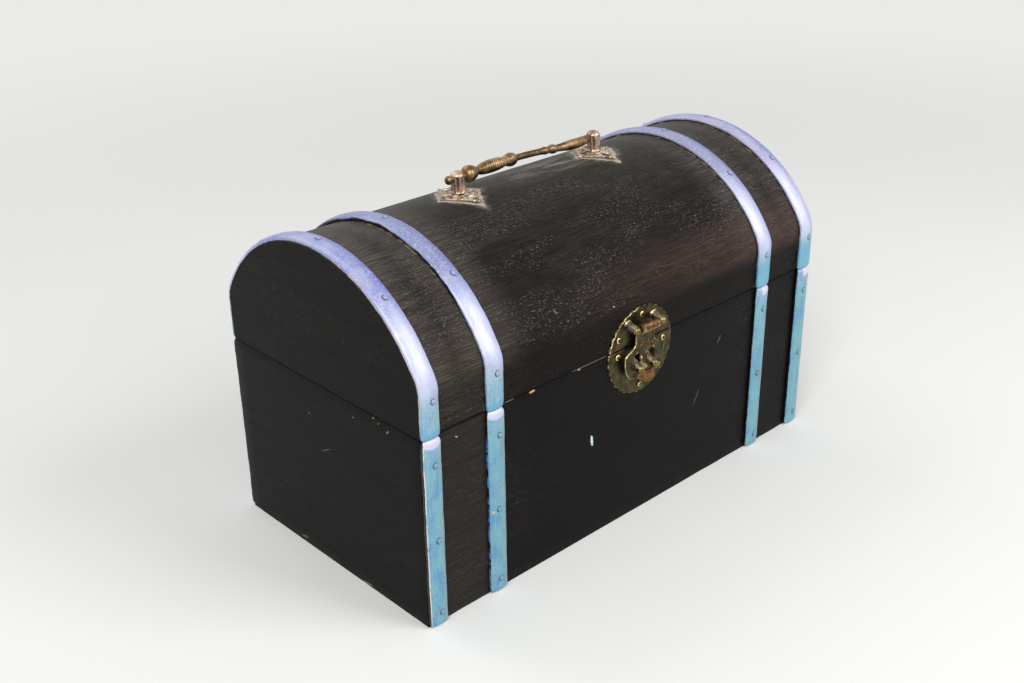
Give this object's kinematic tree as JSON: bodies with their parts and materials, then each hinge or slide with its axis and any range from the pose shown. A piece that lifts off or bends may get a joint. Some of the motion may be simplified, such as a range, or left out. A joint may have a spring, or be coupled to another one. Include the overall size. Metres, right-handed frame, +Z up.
{
  "type": "storage chest",
  "caption": "Small wooden chest with a domed lid on back hinges, painted half-round bands, a hasp latch over two studs and a carrying handle on top.",
  "frame": {"origin": "centre of the chest's flat underside, midway between the wooden front and back faces", "axes": "+X along the chest's length to the viewer's right when facing the latch, +Y to the back where the hinges are, +Z up; the front with the latch faces -Y"},
  "size_m": [0.3, 0.169, 0.1922],
  "materials": {
    "painted_wood": "black satin paint over an open grain, dusty and lightly scuffed",
    "bare_wood": "bare softwood, unfinished",
    "band_paint": "hand-painted satin blue fading to lavender over the dome",
    "antique_brass": "dark antique patina with rubbed highlights",
    "worn_copper": "antique patina worn to a coppery tone on the raised parts",
    "bright_brass": "brass worn bright on the crowns",
    "steel": "plain drawn wire and stamped washers"
  },
  "bodies": {
    "chest_body": {"body_left_end": "painted_wood", "body_right_end": "painted_wood", "body_front_panel": "painted_wood", "body_back_panel": "painted_wood", "body_bottom_panel": "bare_wood", "body_front_band_1": "band_paint", "body_front_band_2": "band_paint", "body_front_band_3": "band_paint", "body_front_band_4": "band_paint", "body_back_band_1": "band_paint", "body_back_band_2": "band_paint", "body_back_band_3": "band_paint", "body_back_band_4": "band_paint", "latch_lower_plate": "antique_brass", "latch_lower_nail_1": "bright_brass", "latch_lower_nail_2": "bright_brass", "latch_lower_nail_3": "bright_brass", "hinge_left_body_leaf": "antique_brass", "hinge_left_pin": "steel", "hinge_right_body_leaf": "antique_brass", "hinge_right_pin": "steel", "hinge_body_nail_1": "bright_brass", "hinge_body_nail_2": "bright_brass", "hinge_body_nail_3": "bright_brass", "hinge_body_nail_4": "bright_brass"},
    "lid": {"lid_left_end": "painted_wood", "lid_right_end": "painted_wood", "lid_front_rail": "bare_wood", "lid_back_rail": "bare_wood", "lid_skin": "painted_wood", "lid_band_1": "band_paint", "lid_band_2": "band_paint", "lid_band_3": "band_paint", "lid_band_4": "band_paint", "latch_upper_plate": "antique_brass", "latch_upper_nail_1": "bright_brass", "latch_upper_nail_2": "bright_brass", "latch_upper_nail_3": "bright_brass", "latch_hasp_pin": "steel", "handle_left_rosette": "bright_brass", "handle_left_post": "antique_brass", "handle_left_washer": "steel", "handle_right_rosette": "bright_brass", "handle_right_post": "antique_brass", "handle_right_washer": "steel", "handle_rosette_nail_1": "bright_brass", "handle_rosette_nail_2": "bright_brass", "handle_rosette_nail_3": "bright_brass", "handle_rosette_nail_4": "bright_brass", "hinge_left_lid_leaf": "antique_brass", "hinge_right_lid_leaf": "antique_brass", "hinge_lid_nail_1": "bright_brass", "hinge_lid_nail_2": "bright_brass", "hinge_lid_nail_3": "bright_brass", "hinge_lid_nail_4": "bright_brass"},
    "hasp": {"latch_hasp": "worn_copper"},
    "handle": {"handle_bail": "antique_brass"}
  },
  "joints": [
    {"name": "lid_hinge", "type": "hinge", "parent": "chest_body", "child": "lid", "pos_m": [0, 0.0809, 0.10535], "axis": [-1, 0, 0], "range_deg": [0, 105]},
    {"name": "hasp_hinge", "type": "hinge", "parent": "lid", "child": "hasp", "pos_m": [0, -0.0837, 0.11635], "axis": [-1, 0, 0], "range_deg": [0, 170]},
    {"name": "handle_swing", "type": "hinge", "parent": "lid", "child": "handle", "pos_m": [0, 0.0061, 0.18771], "axis": [1, 0, 0], "continuous": true}
  ]
}
